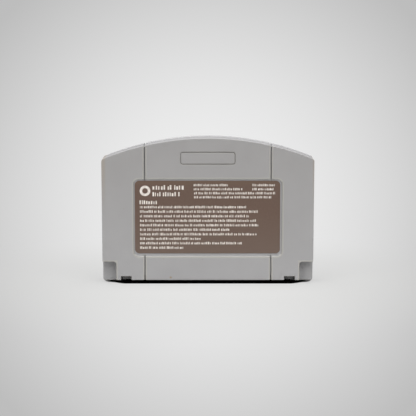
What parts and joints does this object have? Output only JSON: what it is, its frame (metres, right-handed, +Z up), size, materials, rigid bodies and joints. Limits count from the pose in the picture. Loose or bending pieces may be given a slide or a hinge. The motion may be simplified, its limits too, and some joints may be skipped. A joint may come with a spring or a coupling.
{
  "type": "game cartridge",
  "caption": "Upright game cartridge with an arched top, a recessed rear label, two long grooves, corner pockets and an open connector mouth below.",
  "frame": {"origin": "on the table, under the middle of the case's footprint", "axes": "+X along the width, +Z up from the connector end to the arched top, -Y out of the rear face that carries the label, +Y out of the front face"},
  "size_m": [0.116, 0.0186, 0.08],
  "materials": {
    "case_plastic": "fine matt moulding texture",
    "label_paper": "printed, semi-matt",
    "board_laminate": "solder-masked glass laminate",
    "contact_plating": "gold plated",
    "shield_steel": "tinned sheet",
    "screw_steel": "zinc plated",
    "chip_moulding": "matt epoxy moulding",
    "tinned_lead": "tinned",
    "capacitor_ceramic": "satin",
    "bulk_moulding": "satin epoxy moulding"
  },
  "bodies": {
    "root": {"rear_shell": "case_plastic", "front_shell": "case_plastic", "rear_label": "label_paper", "circuit_board": "board_laminate", "contact_fingers_rear": "contact_plating", "contact_fingers_front": "contact_plating", "rear_shield": "shield_steel", "front_shield": "shield_steel", "shield_screws": "screw_steel", "program_chip": "chip_moulding", "program_chip_leads": "tinned_lead", "lock_chip": "chip_moulding", "lock_chip_leads": "tinned_lead", "save_chip": "chip_moulding", "save_chip_leads": "tinned_lead", "ceramic_capacitors": "capacitor_ceramic", "ceramic_capacitor_ends": "tinned_lead", "resistors": "chip_moulding", "resistor_ends": "tinned_lead", "bulk_capacitor": "bulk_moulding", "bulk_capacitor_leads": "tinned_lead"}
  },
  "joints": []
}
